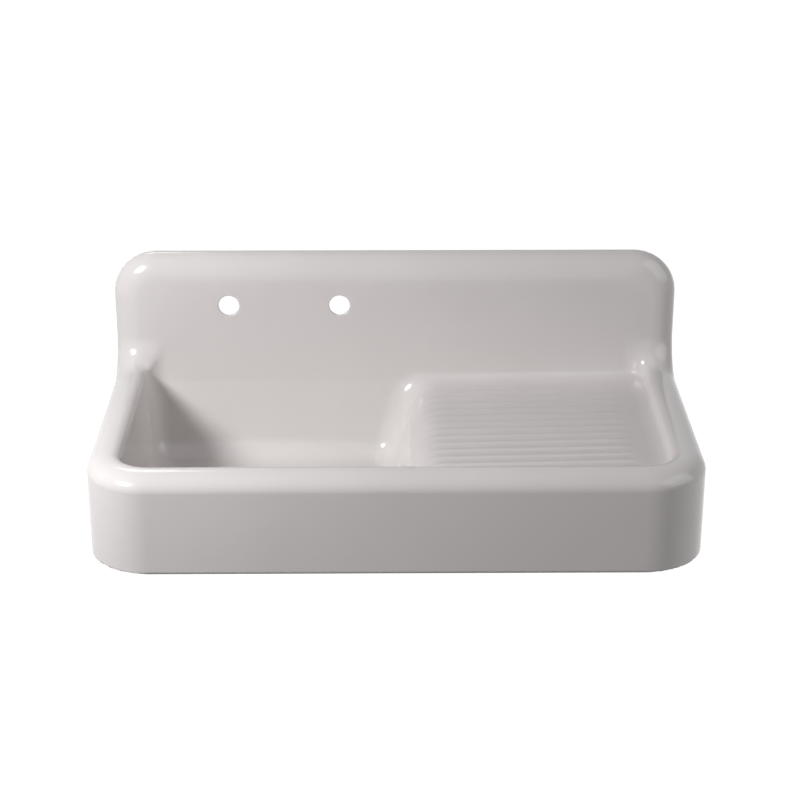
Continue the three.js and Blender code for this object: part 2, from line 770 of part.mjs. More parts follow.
function basketPost() {
  const foot = postNutTopZ - postNutHeight - fit;
  const collarZ = basketFloorZ + basketSheet + fit;
  return turned([
    [0, foot],
    [postRadius, foot],
    [postRadius, collarZ],
    [postFootDiameter / 2, collarZ],
    [(postFootDiameter + postDiameter) / 4, basketFloorZ + postFootHeight],
    [postRadius, basketFloorZ + postNeckHeight],
    [postRadius, postTopZ],
    [0, postTopZ],
  ], turnSteps / 2);
}

function basketKnob() {
  const foot = postTopZ - knobHeight / 2;
  const top = foot + knobHeight;
  const radius = knobDiameter / 2;
  const neck = knobNeckDiameter / 2;
  const bore = postRadius + fit;
  const profile = [
    [0, postTopZ + fit],
    [bore, postTopZ + fit],
    [bore, foot],
    [neck, foot],
    [neck, foot + knobNeckHeight],
  ];
  const headHeight = (knobHeight - knobNeckHeight) / 2;
  for (let i = -1; i < domeSteps; i++) {
    const turn = (quarterTurn * i) / domeSteps;
    profile.push([radius * Math.cos(turn), top - headHeight + headHeight * Math.sin(turn)]);
  }
  profile.push([0, top]);
  return turned(profile, turnSteps / 2);
}

function postNut() {
  const corners = Array(6).fill(postNutDiameter / 2);
  const foot = postNutTopZ - postNutHeight;
  return flatRing(corners, postRadius + fit, foot, postNutHeight, holeSteps);
}

// ---- The scene graph ----
function piece(name, geometry, material) {
  const mesh = new THREE.Mesh(geometry, material);
  mesh.name = name;
  return mesh;
}

const sink = new THREE.Group();
sink.position.z = -(wallRibTop - wallRibHeight / 2);
sink.add(piece("sink_casting", geometryOf(castingSolid()), enamel));

for (const [side, sign] of [["left", -1], ["right", 1]]) {
  const middleX = (sign * hangerSpacing) / 2;
  sink.add(piece(`wall_hanger_${side}`, geometryOf(hangerSolid(middleX)), galvanised));
  for (const [level, z] of Object.entries(screwHeights)) {
    const screw = piece(`hanger_screw_${side}_${level}`, screwSolid(), zincScrew);
    screw.position.set(middleX, -hangerPlate - fit, z);
    sink.add(screw);
  }
}

const drain = new THREE.Group();
drain.position.set(drainX, basinMiddleY, 0);
const neckBore = strainerRadius + fit;
drain.add(
  piece("putty_ring", puttyRing(), putty),
  piece("strainer_body", strainerBody(), stainless),
  piece("strainer_gasket", washer(neckBore, gasketDiameter / 2, gasketTopZ, gasketThickness), rubber),
  piece(
    "friction_washer",
    washer(neckBore, locknutDiameter / 2, frictionTopZ, frictionThickness),
    fibre,
  ),
  piece(
    "strainer_locknut",
    lobedRing(locknutDiameter / 2, neckBore, locknutEars, locknutEarHeight,
      locknutTopZ - locknutHeight, locknutHeight),
    brass,
  ),
  piece(
    "tailpiece_washer",
    washer(outletBore / 2, tailFlangeDiameter / 2, washerTopZ, tailWasherThickness),
    rubber,
  ),
  piece("tailpiece", tailpiece(), chrome),
  piece("coupling_nut", couplingNut(), chrome),
);

const basket = new THREE.Group();
basket.add(
  piece("basket_cup", basketCup(), stainless),
  piece("basket_stopper", basketStopper(), rubber),
  piece("basket_post", basketPost(), stainless),
  piece("basket_knob", basketKnob(), blackPlastic),
  piece("basket_post_nut", postNut(), stainless),
);
drain.add(basket);
sink.add(drain);

export default sink;
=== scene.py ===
import math

import bpy
import numpy as np
from mathutils import Matrix, Vector


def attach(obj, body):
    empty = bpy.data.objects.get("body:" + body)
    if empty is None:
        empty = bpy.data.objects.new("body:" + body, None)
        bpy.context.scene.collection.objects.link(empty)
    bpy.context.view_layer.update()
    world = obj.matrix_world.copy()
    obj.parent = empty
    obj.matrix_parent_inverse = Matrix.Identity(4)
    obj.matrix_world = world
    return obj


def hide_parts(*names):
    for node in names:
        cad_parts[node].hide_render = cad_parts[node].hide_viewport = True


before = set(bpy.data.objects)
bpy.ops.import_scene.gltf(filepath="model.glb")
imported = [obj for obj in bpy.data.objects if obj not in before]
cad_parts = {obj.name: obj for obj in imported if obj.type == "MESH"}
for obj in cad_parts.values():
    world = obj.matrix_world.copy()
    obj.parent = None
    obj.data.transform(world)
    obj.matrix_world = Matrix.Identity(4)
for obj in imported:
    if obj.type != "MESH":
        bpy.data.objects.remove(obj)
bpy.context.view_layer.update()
print("frame loaded")

mm = 0.001
originHeight = 134.0  # the frame's origin above the apron's lower edge


def toLinear(hexColour):
    channels = [int(hexColour[i:i + 2], 16) / 255 for i in (1, 3, 5)]
    linear = [c / 12.92 if c <= 0.04045 else ((c + 0.055) / 1.055) ** 2.4 for c in channels]
    return (*linear, 1.0)


def newMaterial(name):
    material = bpy.data.materials.new(name)
    material.use_nodes = True
    tree = material.node_tree
    return material, tree, tree.nodes["Principled BSDF"]


def fillInputs(tree, node, inputs):
    # an output of another node is linked, anything else is set on the socket itself
    for key, value in inputs.items():
        if isinstance(value, bpy.types.NodeSocket):
            tree.links.new(value, node.inputs[key])
        else:
            node.inputs[key].default_value = value


def addNode(tree, kind, inputs=None, **settings):
    node = tree.nodes.new(kind)
    for key, value in settings.items():
        setattr(node, key, value)
    fillInputs(tree, node, inputs or {})
    return node


def addObject(name, data):
    made = bpy.data.objects.new(name, data)
    bpy.context.scene.collection.objects.link(made)
    return made


def perMetre(millimetres):
    # a texture scale whose pattern repeats about every so many mm
    return 1000.0 / millimetres


def mottledMaterial(finish):
    # two near tones, shared out by a pattern or else by soft clouds, a gloss that follows them
    # and a fine grain; even holds what is the same all over
    material, tree, shader = newMaterial(finish["name"])
    place = addNode(tree, "ShaderNodeTexCoord").outputs["Object"]
    if "pattern" in finish:
        share = finish["pattern"](tree, place)
    else:
        share = addNode(tree, "ShaderNodeTexNoise", {
            "Vector": place, "Scale": perMetre(finish["toneSize"]),
            "Detail": finish["toneDetail"]}).outputs["Fac"]
    if "spread" in finish:
        low, high = finish["spread"]
        share = addNode(tree, "ShaderNodeMapRange", {
            "Value": share, "From Min": low, "From Max": high}).outputs["Result"]
    inputs = {"Base Color": addNode(tree, "ShaderNodeMix", {
        0: share, 6: toLinear(finish["main"]), 7: toLinear(finish["second"])},
        data_type="RGBA").outputs[2]}
    if "roughness" in finish:
        low, high = finish["roughness"]
        inputs["Roughness"] = addNode(tree, "ShaderNodeMapRange", {
            "Value": share, "To Min": low, "To Max": high}).outputs["Result"]
    if "grainSize" in finish:
        grain = addNode(tree, "ShaderNodeTexNoise", {
            "Vector": place, "Scale": perMetre(finish["grainSize"]),
            "Detail": finish["grainDetail"]})
        inputs["Normal"] = addNode(tree, "ShaderNodeBump", {
            "Height": grain.outputs["Fac"],
            "Distance": finish["grainDepth"] * mm}).outputs["Normal"]
    fillInputs(tree, shader, {**inputs, **finish["even"]})
    return material


# the camera stands at the photograph's viewing angle
cameraView = {
    "place": (-0.019, -3.420, 1.380),
    "pitchDown": 22.69,
    "turnRight": 0.47,
    "lens": 88.02,
    "sensor": 36.0,
    "farClip": 60.0,
}
cameraData = bpy.data.cameras.new("photoCamera")
cameraData.lens = cameraView["lens"]
cameraData.sensor_width = cameraView["sensor"]
cameraData.clip_end = cameraView["farClip"]
camera = addObject("photoCamera", cameraData)
camera.location = cameraView["place"]
camera.rotation_euler = (math.radians(90 - cameraView["pitchDown"]), 0,
                         math.radians(-cameraView["turnRight"]))
bpy.context.scene.camera = camera
print("camera set")

# the enamelled casting, in mm, with heights from the apron's lower edge
casting = {
    "width": 1035.0,
    "depth": 545.0,
    "apron": 175.0,
    "height": 383.0,
    "iron": 6.5,
    "frontCorner": 107.0,
    "splashCorner": 80.0,
    "rimRoll": (39.0, 29.0),
    "splashRoll": (48.0, 35.0),
    "rimLip": (18.0, 13.0),
    "lipGrowth": (26.0, 31.0),  # the inner lip turns wider and softer as it climbs the sweep
    "standoff": 38.0,
    "sweep": 50.0,
    "softness": 2.3,
    "skinEdge": 0.5,
    "wallEdge": 2.0,
    "footEdge": 2.5,
    "coatEnd": 0.55,  # share of the iron's thickness that the enamel wraps round an edge
    "cellSize": 3.5,
}
basin = {
    "frontCorner": 52.0,
    "backCorner": 40.0,
    "bowlFloor": -9.0,
    "floorFall": 6.0,
    "draft": 8.0,
    "rightLean": 14.0,
    "floorRadius": 45.0,
    "lipRadius": 45.0,
    "boardLeft": 70.5,
    "boardLeftHeight": 139.0,
    "boardRightHeight": 147.0,
    "boardFillet": (33.0, 14.5),
    "filletChange": (5.5, 90.5),  # from the bowl's fillet to the board's, along X
    "underside": (255.0, 235.0, 60.0),  # what hangs below the apron: half sides and corner
    "drain": (-217.5, -263.0),
    "fallReach": (41.0, 215.0),  # from the drain's axis
    "seatRadius": 61.0,
    "seatDepth": 3.0,
    "seatEdge": 1.5,
    "drainRadius": 46.0,
    "drainReach": 60.0,  # the drain's hole is cut below this height
}
boardRibs = {
    "count": 13,
    "pitch": 29.0,
    "width": 21.0,
    "rise": 1.0,
    "middleY": -269.0,
    "start": 46.0,
    "end": 414.0,
    "taper": 26.0,
}
castingBack = {
    "tapHoles": ((-305.6, 288.0), (-102.4, 288.0)),
    "tapHoleRadius": 19.0,
    "holeEdge": 1.5,
    "ribFoot": 104.0,
    "ribTop": 164.0,
    "ribThickness": 7.0,
    "ribEdge": 1.5,
    "fillet": 4.0,
    "lugs": (-400.0, 400.0),
    "lugWidth": 50.0,
    "lugFoot": 284.3,
    "lugArm": (305.0, 319.0),
    "lugDepth": (-6.5, -16.0),
    "lugEdge": 2.0,
    "lugFillet": 3.0,
}

sideWall = casting["width"] / 2 - casting["rimRoll"][0] - casting["rimLip"][0]
frontWall = casting["depth"] - casting["rimRoll"][0] - casting["rimLip"][0]
sweepCentreY = -casting["standoff"] - casting["sweep"]
sweepTop = casting["apron"] + casting["sweep"]
sweepStart = casting["depth"] + sweepCentreY
sweepLength = casting["sweep"] * math.pi / 2
sheetLength = sweepStart + sweepLength + casting["height"] - sweepTop


def smoothStep(value, low, high):
    t = np.clip((value - low) / (high - low), 0, 1)
    return t * t * (3 - 2 * t)


def ovalEdge(a, b, width, height, along=0.0):
    # signed distance to a quadrant whose corner is rounded to a quarter of an ellipse; along is
    # the cosine between the two faces' normals, and where they turn alike the rounding fades out
    u = (width - a) / width
    v = (height - b) / height
    inCorner = (u > along * v) & (v > along * u)
    u = np.where(inCorner, u, 1)
    v = np.where(inCorner, v, 1)
    c = np.where(inCorner, along, 0)
    s = 1 - c * c
    q = np.sqrt((u * u + v * v - 2 * c * u * v) / s)
    du = (u - c * v) / (q * s * width)
    dv = (v - c * u) / (q * s * height)
    curved = (q - 1) / np.sqrt(du * du + dv * dv + 2 * c * du * dv)
    return np.where(inCorner, curved, np.maximum(-a, -b))


def roundNorm(u, v):
    # softer than a circle where it runs into the flats, as a sanded pattern leaves a casting
    u, v = np.maximum(u, 0), np.maximum(v, 0)
    return (u**casting["softness"] + v**casting["softness"]) ** (1 / casting["softness"])


def joinRound(a, b, radius):
    # metal joined to metal with a fillet
    return np.maximum(radius, np.minimum(a, b)) - roundNorm(radius - a, radius - b)


def cutRound(a, b, radius):
    # metal cut by a surface, its new edge eased by a radius
    return np.minimum(-radius, np.maximum(a, b)) + roundNorm(radius + a, radius + b)


def roundRectangle(x, y, halfX, halfY, radius):
    px = np.abs(x) - (halfX - radius)
    py = np.abs(y) - (halfY - radius)
    outside = np.hypot(np.maximum(px, 0), np.maximum(py, 0))
    return outside + np.minimum(np.maximum(px, py), 0) - radius


def boxField(x, y, z, low, high, easing):
    spans = []
    for value, start, end in zip((x, y, z), low, high):
        spans.append(np.abs(value - (start + end) / 2) - (end - start) / 2 + easing)
    outside = np.sqrt(sum(np.maximum(span, 0) ** 2 for span in spans))
    inside = np.minimum(np.maximum(np.maximum(spans[0], spans[1]), spans[2]), 0)
    return outside + inside - easing


def skinField(x, y, z):
    # the rim plane that sweeps up into the splashback, with its rolled outer edge
    turning = (y > sweepCentreY) & (z < sweepTop)
    arm = np.hypot(y - sweepCentreY, z - sweepTop)
    angle = np.arctan2(y - sweepCentreY, sweepTop - z)
    overRim = casting["apron"] - z
    overSplash = y + casting["standoff"]
    nearRim = overRim > overSplash
    drop = np.where(turning, arm - casting["sweep"], np.maximum(overRim, overSplash))
    along = np.where(nearRim, y + casting["depth"], sweepStart + sweepLength + z - sweepTop)
    along = np.where(turning, sweepStart + casting["sweep"] * angle, along)
    corner = np.where(along < sheetLength / 2, casting["frontCorner"], casting["splashCorner"])
    edge = -roundRectangle(x, along - sheetLength / 2, casting["width"] / 2, sheetLength / 2,
                           corner)
    share = np.clip((along - sweepStart) / sweepLength, 0, 1)
    rim, splash = casting["rimRoll"], casting["splashRoll"]
    width = rim[0] + (splash[0] - rim[0]) * share
    height = rim[1] + (splash[1] - rim[1]) * share
    rising = np.where(turning, np.sin(angle), z >= sweepTop)
    return ovalEdge(edge, drop, width, height), drop, rising


def floorField(x, y, z, ribbed):
    # bowl floor, the bowl's right wall, its lip and the board, as one profile
    rise = basin["boardRightHeight"] - basin["boardLeftHeight"]
    slope = rise / (sideWall - basin["boardLeft"])
    board = basin["boardLeftHeight"] + slope * (x - basin["boardLeft"])
    if ribbed:
        board = board + ribHeight(x, y)
    fromDrain = np.hypot(x - basin["drain"][0], y - basin["drain"][1])
    fall = basin["floorFall"] * (1 - smoothStep(fromDrain, *basin["fallReach"]))
    floor = basin["bowlFloor"] - fall
    lean = math.radians(basin["rightLean"])
    lipX, lipZ = basin["boardLeft"], basin["boardLeftHeight"] - basin["lipRadius"]
    wall = (lipX - x) * math.cos(lean) + (z - lipZ) * math.sin(lean) - basin["lipRadius"]
    step = cutRound(wall, z - board, basin["lipRadius"])
    seatLevel = basin["bowlFloor"] - basin["floorFall"] - basin["seatDepth"]
    seat = np.maximum(fromDrain - basin["seatRadius"], seatLevel - z)
    bowl = cutRound(z - floor, -seat, basin["seatEdge"])
    return joinRound(step, bowl, basin["floorRadius"])


def wallDraft(z):
    top, foot = basin["boardLeftHeight"], basin["bowlFloor"] + basin["floorRadius"]
    return basin["draft"] * np.clip((top - z) / (top - foot), 0, 1)


def ribHeight(x, y):
    offset = y - boardRibs["middleY"]
    nearest = np.round(offset / boardRibs["pitch"])
    reach = (boardRibs["count"] - 1) / 2
    nearest = np.clip(nearest, -reach, reach)
    across = np.abs(offset - nearest * boardRibs["pitch"]) / (boardRibs["width"] / 2)
    crown = 0.5 * (1 + np.cos(np.pi * np.clip(across, 0, 1)))
    rising = smoothStep(x, boardRibs["start"], boardRibs["start"] + boardRibs["taper"])
    falling = 1 - smoothStep(x, boardRibs["end"] - boardRibs["taper"], boardRibs["end"])
    return boardRibs["rise"] * crown * rising * falling


def bodyField(x, y, z, ribbed):
    skin, drop, rising = skinField(x, y, z)
    px = np.abs(x) - (sideWall - basin["frontCorner"])
    py = -frontWall + basin["frontCorner"] - y
    corner = np.hypot(np.maximum(px, 0), np.maximum(py, 0))
    sides = basin["frontCorner"] - corner - np.minimum(np.maximum(px, py), 0)
    back = -casting["standoff"] - y
    walls = joinRound(sides, back, basin["backCorner"]) - wallDraft(z)
    nearBack = np.maximum(basin["backCorner"] - back, 0)
    nearSide = np.maximum(basin["backCorner"] - sides, 0)
    alike = np.minimum(rising * nearBack / np.maximum(np.hypot(nearBack, nearSide), 1e-6), 0.999)
    toBoard = smoothStep(x, *basin["filletChange"])
    filletWidth, filletHeight = basin["boardFillet"]
    width = basin["floorRadius"] + (filletWidth - basin["floorRadius"]) * toBoard
    height = basin["floorRadius"] + (filletHeight - basin["floorRadius"]) * toBoard
    room = -ovalEdge(walls, floorField(x, y, z, ribbed), width, height)
    climb = smoothStep(rising, 0, 1)
    lip = [size + growth * climb
           for size, growth in zip(casting["rimLip"], casting["lipGrowth"])]
    return np.maximum(skin, ovalEdge(-room, drop, *lip, alike))


def castingField(x, y, z):
    outer = bodyField(x, y, z, True)
    inner = -(bodyField(x, y, z, False) + casting["iron"])
    shell = cutRound(outer, inner, casting["skinEdge"])
    drainX, drainY = basin["drain"]
    fromBowl = roundRectangle(x - drainX, y - drainY, *basin["underside"])
    shell = cutRound(shell, np.minimum(-z, fromBowl), casting["footEdge"])
    shell = cutRound(shell, y, casting["wallEdge"])
    halfWidth = casting["width"] / 2 - casting["iron"] / 2
    foot, top = castingBack["ribFoot"], castingBack["ribTop"]
    thick, easing = castingBack["ribThickness"], castingBack["ribEdge"]
    shelfFront = -casting["standoff"] + casting["iron"] / 2
    rib = boxField(x, y, z, (-halfWidth, -thick, foot), (halfWidth, 0, top), easing)
    shelf = boxField(x, y, z, (-halfWidth, shelfFront, top - thick), (halfWidth, 0, top), easing)
    metal = joinRound(shell, np.minimum(rib, shelf), castingBack["fillet"])
    lipBack, lipFront = castingBack["lugDepth"]
    armFoot, armTop = castingBack["lugArm"]
    half, easing = castingBack["lugWidth"] / 2, castingBack["lugEdge"]
    for middle in castingBack["lugs"]:
        high = (middle + half, lipBack, armTop)
        arm = boxField(x, y, z, (middle - half, shelfFront, armFoot), high, easing)
        drop = boxField(x, y, z, (middle - half, lipFront, castingBack["lugFoot"]), high, easing)
        lug = joinRound(arm, drop, castingBack["lugFillet"])
        metal = joinRound(metal, lug, castingBack["fillet"])
    easing = castingBack["holeEdge"]
    for holeX, holeZ in castingBack["tapHoles"]:
        bore = castingBack["tapHoleRadius"] - np.hypot(x - holeX, z - holeZ)
        metal = np.where(y > -casting["depth"] / 2, cutRound(metal, bore, easing), metal)
    bore = basin["drainRadius"] - np.hypot(x - drainX, y - drainY)
    return np.where(z < basin["drainReach"], cutRound(metal, bore, easing), metal)


def surfaceNet(field, low, high, cell):
    # one vertex for each grid cell that the surface crosses, one face for each crossed grid edge
    axes = [np.arange(a - 2 * cell, b + 3 * cell, cell) for a, b in zip(low, high)]
    counts = [len(axis) for axis in axes]
    values = np.empty(counts, np.float32)
    for i, x in enumerate(axes[0]):
        values[i] = field(x, axes[1][:, None], axes[2][None, :])
    inside = values < 0
    mixed = np.zeros([n - 1 for n in counts], bool)
    first = inside[:-1, :-1, :-1]
    offsets = [(i, j, k) for i in (0, 1) for j in (0, 1) for k in (0, 1)]
    for i, j, k in offsets[1:]:
        other = inside[i:counts[0] - 1 + i, j:counts[1] - 1 + j, k:counts[2] - 1 + k]
        mixed |= first != other
    cells = np.argwhere(mixed)
    number = np.full(mixed.shape, -1, np.int32)
    number[mixed] = np.arange(len(cells))
    sums = np.zeros((len(cells), 3))
    hits = np.zeros(len(cells))
    for start in offsets:
        for axis in range(3):
            if start[axis]:
                continue
            end = list(start)
            end[axis] = 1
            a = values[tuple((cells + start).T)]
            b = values[tuple((cells + end).T)]
            crossed = (a < 0) != (b < 0)
            share = np.where(crossed, a / np.where(crossed, a - b, 1), 0)
            place = np.repeat([start], len(cells), 0).astype(float)
            place[:, axis] = share
            sums += np.where(crossed[:, None], place, 0)
            hits += crossed
    origin = np.array([axis[0] for axis in axes])
    points = origin + (cells + sums / hits[:, None]) * cell
    faces = []
    for axis in range(3):
        b, c = (axis + 1) % 3, (axis + 2) % 3
        ahead = np.take(inside, range(1, counts[axis]), axis)
        behind = np.take(inside, range(counts[axis] - 1), axis)
        for leaving in (True, False):
            edges = np.argwhere((behind & ~ahead) if leaving else (ahead & ~behind))
            quad = []
            for stepB, stepC in ((1, 1), (0, 1), (0, 0), (1, 0)):
                corner = edges.copy()
                corner[:, b] -= stepB
                corner[:, c] -= stepC
                quad.append(number[tuple(corner.T)])
            faces.append(np.stack(quad if leaving else quad[::-1], 1))
    return points, np.concatenate(faces)


def fieldGradient(field, points, step=0.05):
    slopes = []
    for axis in range(3):
        shift = np.zeros(3)
        shift[axis] = step
        ahead = field(*(points + shift).T)
        behind = field(*(points - shift).T)
        slopes.append((ahead - behind) / (2 * step))
    return np.stack(slopes, 1)


# how the net is drawn onto the surface; longestMove is a share of a cell
netFit = {"passes": 4, "leastSlope": 0.2, "longestMove": 0.45, "normalDivisor": 9}


def shapeFromField(field, low, high, cell):
    # the surface net, drawn onto the field's true surface, and the surface's own normals
    points, faces = surfaceNet(field, low, high, cell)
    longest = cell * netFit["longestMove"]
    for _ in range(netFit["passes"]):
        slope = fieldGradient(field, points)
        steepness = np.maximum((slope**2).sum(1), netFit["leastSlope"])
        move = field(*points.T)[:, None] * slope / steepness[:, None]
        points = points - np.clip(move, -longest, longest)
    points = np.clip(points, low, high)
    slope = fieldGradient(field, points, cell / netFit["normalDivisor"])
    normals = slope / np.maximum(np.linalg.norm(slope, axis=1), 1e-6)[:, None]
    return points, faces, normals


def addPiece(name, shape, node, body, slot, *materials):
    points, faces, normals = shape
    mesh = bpy.data.meshes.new(name + "Mesh")
    placed = (points - (0, 0, originHeight)) * mm
    mesh.from_pydata(placed.tolist(), [], faces if isinstance(faces, list) else faces.tolist())
    mesh.polygons.foreach_set("use_smooth", np.ones(len(faces), bool))
    mesh.update()
    mesh.normals_split_custom_set_from_vertices(normals.tolist())
    for material in materials:
        mesh.materials.append(material)
    piece = addObject(name, mesh)
    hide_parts(node)
    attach(piece, body)
    print(f"{name}: {len(faces)} faces")
    return piece


# vitreous enamel, glossy white, fired on the casting: a thick glass coat that gives crisp
# highlights with soft edges, a slight orange peel and a faintly warm white
enamelFinish = {"name": "vitreousEnamel", "main": "#DFDBDA", "second": "#D8D3D2",
                "toneSize": 160.0, "toneDetail": 3.0, "roughness": (0.12, 0.19),
                "grainSize": 14.0, "grainDetail": 1.0, "grainDepth": 0.04,
                "even": {"IOR": 1.52}}
# ground coat, the dull dark frit on the unseen side of the iron: grey-black, rough with the
# sand of the mould, paler where it was sprayed thin
groundFinish = {"name": "groundCoatOnIron", "main": "#3B3C3E", "second": "#5A5957",
                "toneSize": 60.0, "toneDetail": 5.0, "spread": (0.35, 0.7), "grainSize": 2.4,
                "grainDetail": 2.0, "grainDepth": 0.5, "even": {"Roughness": 0.62}}


def splitAtCoat(points, faces, normals):
    # the enamel ends halfway round the iron's edge, on a line cut through the faces it crosses
    depth = -bodyField(*points.T, False) - casting["iron"] * casting["coatEnd"]
    under = depth > 0
    corners = under[faces]
    crossed = corners.any(1) & ~corners.all(1)
    kept, slots = faces[~crossed].tolist(), corners[~crossed].all(1).tolist()
    points, normals, made = points.tolist(), normals.tolist(), {}

    def onEdge(a, b):
        a, b = min(a, b), max(a, b)
        if (a, b) not in made:
            share = depth[a] / (depth[a] - depth[b])
            made[a, b] = len(points)
            points.append([u + (v - u) * share for u, v in zip(points[a], points[b])])
            normals.append([u + (v - u) * share for u, v in zip(normals[a], normals[b])])
        return made[a, b]

    for face in faces[crossed].tolist():
        parts = {False: [], True: []}
        for a, b in zip(face, face[1:] + face[:1]):
            parts[bool(under[a])].append(a)
            if under[a] != under[b]:
                parts[False].append(onEdge(a, b))
                parts[True].append(onEdge(a, b))
        for slot, part in parts.items():
            kept.append(part)
            slots.append(slot)
    return (np.array(points), kept, np.array(normals)), slots


halfWidth = casting["width"] / 2
lowest = basin["bowlFloor"] - basin["floorFall"] - basin["seatDepth"] - casting["iron"]
castingShape, coatSlots = splitAtCoat(*shapeFromField(
    castingField, (-halfWidth, -casting["depth"], lowest), (halfWidth, 0, casting["height"]),
    casting["cellSize"]))
enamelledCasting = addPiece("enamelledCasting", castingShape, "sink_casting", "sink", "enamel",
                            mottledMaterial(enamelFinish), mottledMaterial(groundFinish))
enamelledCasting.data.polygons.foreach_set("material_index", np.array(coatSlots, np.int32))


def zincSpangle(tree, place):
    # crystals of zinc, each of one tone, with edges bent by a noise
    bend = addNode(tree, "ShaderNodeTexNoise", {
        "Vector": place, "Scale": perMetre(galvanisedFinish["bendSize"]), "Detail": 2.0})
    bent = addNode(tree, "ShaderNodeVectorMath", {
        0: bend.outputs["Color"], 1: [galvanisedFinish["bendReach"]] * 3, 2: place},
        operation="MULTIPLY_ADD")
    cells = addNode(tree, "ShaderNodeTexVoronoi", {
        "Vector": bent.outputs[0], "Scale": perMetre(galvanisedFinish["spangleSize"])})
    return addNode(tree, "ShaderNodeSeparateColor", {0: cells.outputs["Color"]}).outputs[0]


# galvanised malleable iron, for the two hooks on the wall: hot-dip zinc, dull grey with a faint
# spangle in soft-edged patches, a little rough like sand
galvanisedFinish = {"name": "galvanisedIron", "main": "#A7ABAE", "second": "#868B8F",
                    "pattern": zincSpangle, "spangleSize": 7.0, "bendSize": 5.0,
                    "bendReach": 0.004, "roughness": (0.38, 0.58), "grainSize": 1.2,
                    "grainDetail": 3.0, "grainDepth": 0.05, "even": {"Metallic": 1.0}}
hanger = {"halfWidth": 30.0, "foot": 250.0, "top": 342.0, "plate": 5.0, "seat": 284.0,
          "hookFront": -17.5, "hookTop": 300.0, "fillet": 2.0, "easing": 0.9,
          "screwLevels": (331.0, 261.0), "bore": 3.05, "boreEdge": 0.5, "cellSize": 1.3}


def flatBox(y, z, low, high, easing):
    return roundRectangle(y - (low[0] + high[0]) / 2, z - (low[1] + high[1]) / 2,
                          (high[0] - low[0]) / 2, (high[1] - low[1]) / 2, easing)


def hangerField(x, y, z):
    easing, plate = hanger["easing"], hanger["plate"]
    outer = hanger["hookFront"] - plate
    back = flatBox(y, z, (-plate, hanger["foot"]), (0, hanger["top"]), easing)
    under = hanger["seat"] - plate
    shelf = flatBox(y, z, (outer, under), (-plate / 2, hanger["seat"]), easing)
    upstand = flatBox(y, z, (outer, under), (hanger["hookFront"], hanger["hookTop"]), easing)
    side = joinRound(back, np.minimum(shelf, upstand), hanger["fillet"])
    metal = cutRound(side, np.abs(x) - hanger["halfWidth"], easing)
    for level in hanger["screwLevels"]:
        metal = cutRound(metal, hanger["bore"] - np.hypot(x, z - level), hanger["boreEdge"])
    return metal


hangerShape = shapeFromField(
    hangerField, (-hanger["halfWidth"], hanger["hookFront"] - hanger["plate"], hanger["foot"]),
    (hanger["halfWidth"], 0, hanger["top"]), hanger["cellSize"])
ironHook = mottledMaterial(galvanisedFinish)
for side, middle in zip(("left", "right"), castingBack["lugs"]):
    points, faces, normals = hangerShape
    addPiece("ironHook_" + side, (points + (middle, 0, 0), faces, normals),
             "wall_hanger_" + side, "sink", "galvanised_iron", ironHook)

# zinc-plated steel, for the slotted round-head wood screws: bright plating with a faint yellow
# cast and fine turning marks
zincFinish = {"name": "zincPlatedSteel", "main": "#C3C2BA", "second": "#AFA98F",
              "toneSize": 3.0, "toneDetail": 2.0, "grainSize": 0.35, "grainDetail": 1.0,
              "grainDepth": 0.01, "even": {"Roughness": 0.3, "Metallic": 1.0}}
screw = {"length": 45.0, "radius": 2.75, "core": 1.95, "point": 6.0, "tip": 0.02, "plain": 14.0,
         "pitch": 2.2, "crestSlope": 2.4, "runIn": 2.0, "headRadius": 6.0, "headHeight": 4.0,
         "headEdge": 0.3, "slotWidth": 1.4, "slotDepth": 2.0, "slotEdge": 0.15, "overlap": 0.5,
         "seat": -5.3, "turns": (20, -35, 64, 8), "cellSize": 0.45}


def screwField(x, y, z):
    # on its own axis, along Y, with the head towards -Y and the seat at 0
    rise = -y
    radius = np.hypot(x, z)
    phase = (rise / screw["pitch"] + np.arctan2(z, x) / (2 * math.pi)) % 1
    crest = np.clip(1 - screw["crestSlope"] * np.abs(phase - 0.5), 0, 1)
    threadStart, runIn = screw["plain"], screw["runIn"]
    crest = crest * smoothStep(-rise, threadStart, threadStart + runIn)
    plain = 1 - smoothStep(-rise, threadStart - runIn / 2, threadStart + runIn / 2)
    reach = screw["core"] + (screw["radius"] - screw["core"]) * np.maximum(crest, plain)
    reach = reach * np.clip((rise + screw["length"]) / screw["point"], screw["tip"], 1)
    shank = np.maximum(np.maximum(radius - reach, rise - screw["overlap"]),
                       -rise - screw["length"])
    head = ovalEdge(screw["headRadius"] - radius, screw["headHeight"] - rise,
                    screw["headRadius"], screw["headHeight"])
    head = cutRound(head, -rise, screw["headEdge"])
    slotFloor = screw["headHeight"] - screw["slotDepth"]
    slot = np.maximum(np.abs(z) - screw["slotWidth"] / 2, slotFloor - rise)
    return cutRound(np.minimum(shank, head), -slot, screw["slotEdge"])


screwShape = shapeFromField(
    screwField, (-screw["headRadius"], -screw["headHeight"], -screw["headRadius"]),
    (screw["headRadius"], screw["length"], screw["headRadius"]), screw["cellSize"])
screwSteel = mottledMaterial(zincFinish)
turns = iter(screw["turns"])
for side, middle in zip(("left", "right"), castingBack["lugs"]):
    for level, z in zip(("upper", "lower"), hanger["screwLevels"]):
        points, faces, normals = screwShape
        turn = np.array(Matrix.Rotation(math.radians(next(turns)), 3, "Y"))
        shape = (points @ turn.T + (middle, screw["seat"], z), faces, normals @ turn.T)
        addPiece(f"woodScrew_{side}_{level}", shape, f"hanger_screw_{side}_{level}", "sink",
                 "zinc_screw", screwSteel)

# the drain: turned and pressed pieces on one axis, with heights from the seat in the bowl
drainPlace = (*basin["drain"], basin["bowlFloor"] - basin["floorFall"] - basin["seatDepth"])
onAxis = 0.02  # a turned piece closes at this radius


